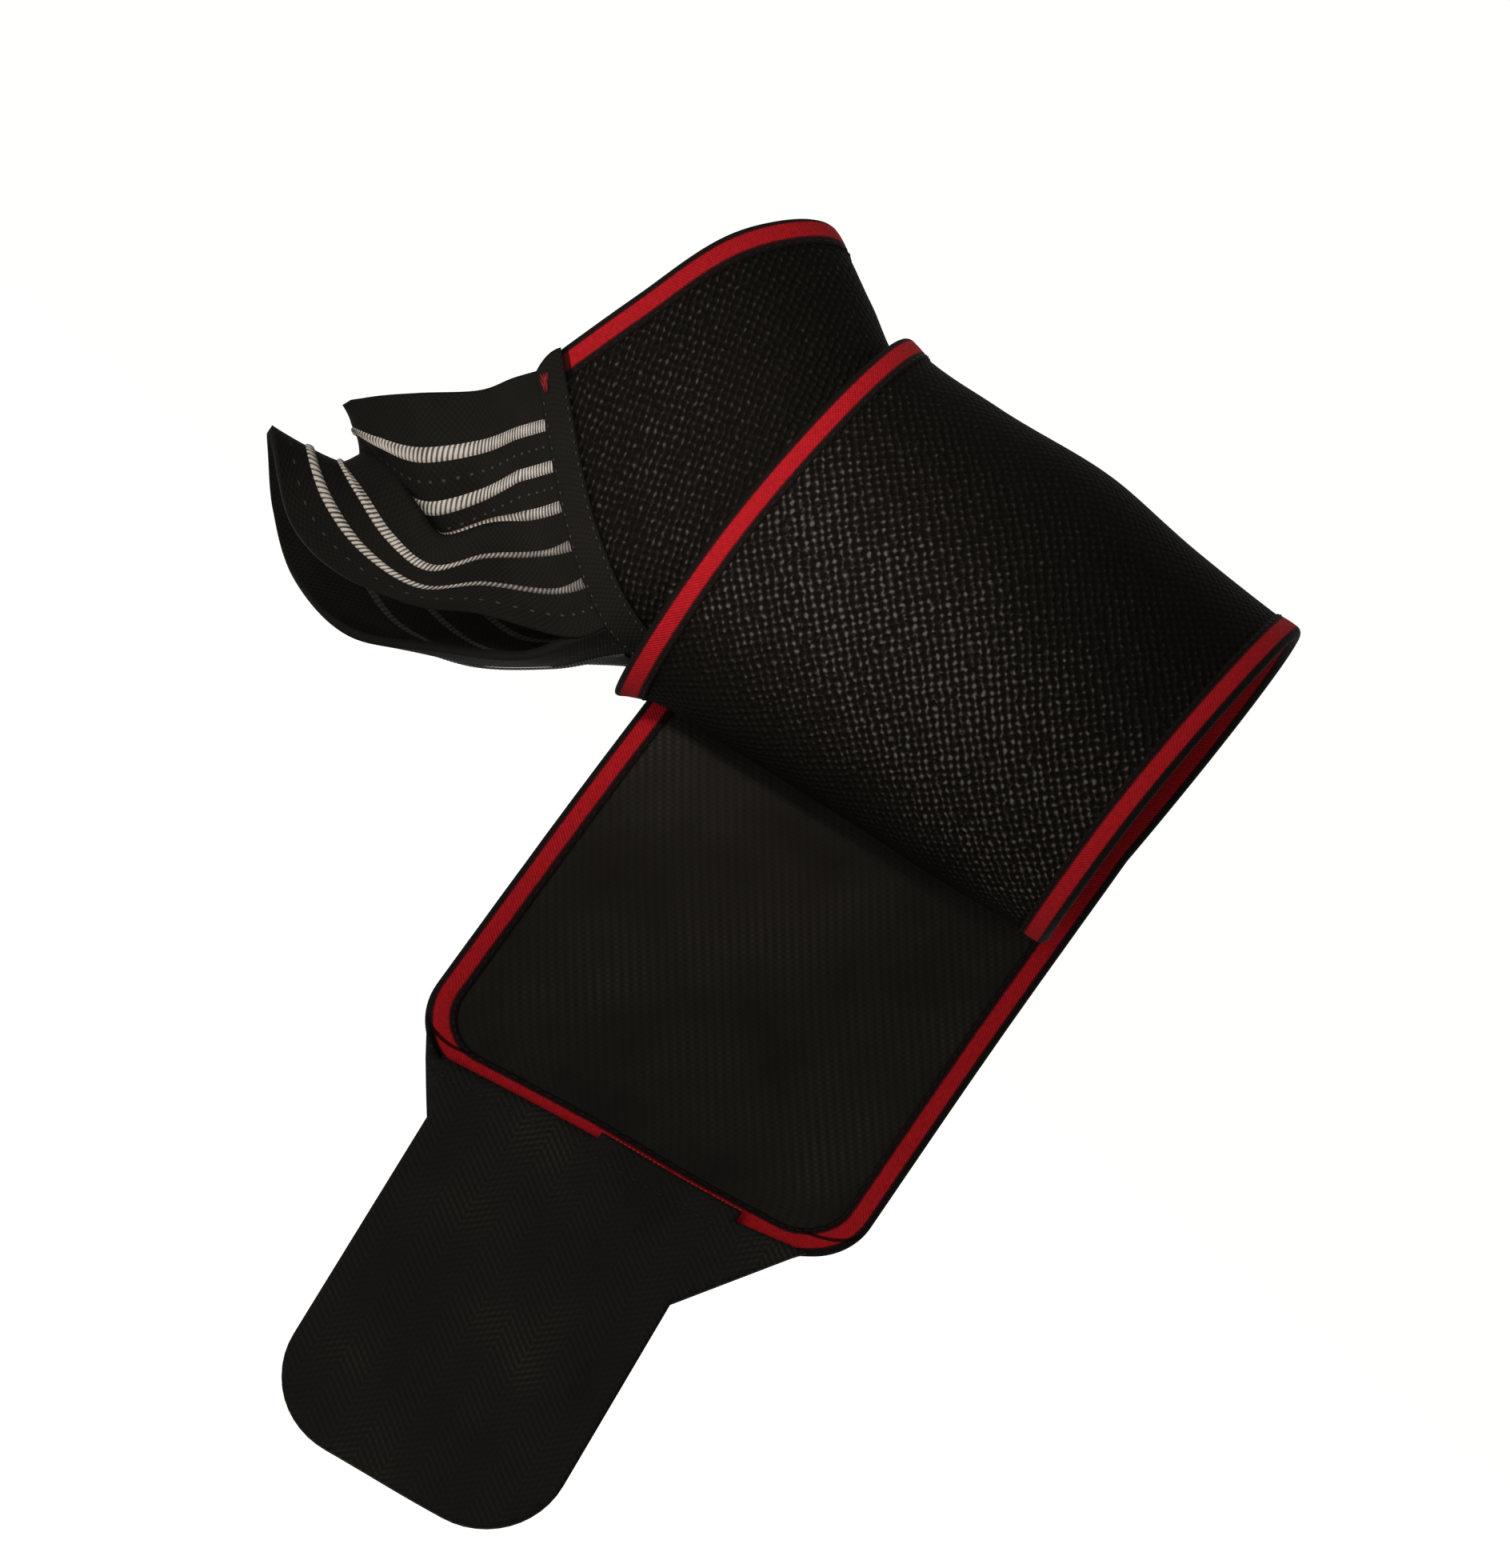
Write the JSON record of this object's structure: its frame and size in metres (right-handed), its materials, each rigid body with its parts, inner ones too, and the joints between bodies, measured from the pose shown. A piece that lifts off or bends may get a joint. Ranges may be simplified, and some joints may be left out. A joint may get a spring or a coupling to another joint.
{
  "type": "wrist wrap",
  "caption": "Elastic wrist wrap with a striped thumb loop, wound in a spiral with its last turn hanging unwound and a hook tab at the end.",
  "frame": {"origin": "middle of the wrist that the wrap is closed on", "axes": "+X along the arm from the hand to the elbow, +Z across the wrist away from the thumb, -Y towards the back of the hand"},
  "size_m": [0.1628, 0.0603, 0.2083],
  "materials": {
    "band_mesh": "knitted bird's-eye mesh, matte",
    "binding_tape": "folded woven tape, matte",
    "loop_elastic": "woven elastic, matte",
    "grip_yarn": "satin ladder stripe",
    "hook_fabric": "twill backed hook fabric, matte"
  },
  "bodies": {
    "root": {"band": "band_mesh", "edge_binding": "binding_tape", "thumb_loop": "loop_elastic", "grip_stripe_1": "grip_yarn", "grip_stripe_2": "grip_yarn", "grip_stripe_3": "grip_yarn", "grip_stripe_4": "grip_yarn", "grip_stripe_5": "grip_yarn", "seam_tape": "loop_elastic", "hook_tab": "hook_fabric"}
  },
  "joints": []
}
